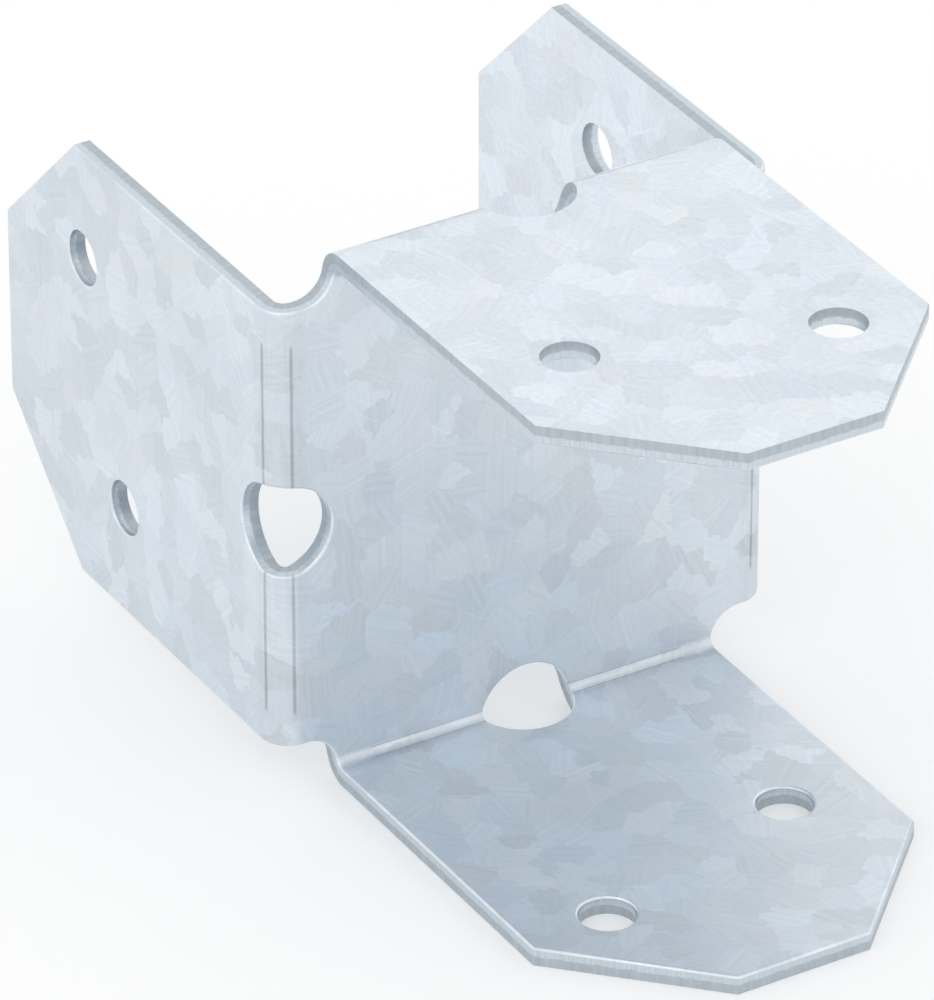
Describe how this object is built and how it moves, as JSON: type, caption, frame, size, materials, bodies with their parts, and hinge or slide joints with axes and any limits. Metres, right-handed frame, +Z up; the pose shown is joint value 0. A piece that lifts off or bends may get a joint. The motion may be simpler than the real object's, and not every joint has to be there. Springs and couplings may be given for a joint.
{
  "type": "timber angle connector",
  "caption": "Folded galvanised sheet-steel connector: a flat web with nail flanges folded back at its sides and forward at top and bottom, for joining crossing timbers.",
  "frame": {"origin": "middle of the web, halfway through the sheet", "axes": "+X right and +Z up, seen from the front; +Y to the rear, along the side flanges, while the top and bottom flanges run to the front, along -Y"},
  "size_m": [0.042, 0.0776, 0.0446],
  "materials": {
    "galvanised_steel": "hot-dip zinc coating, satin pale blue-grey with a faint spangle, darker at the sheared edges"
  },
  "bodies": {
    "root": {"angle_connector": "galvanised_steel"}
  },
  "joints": []
}
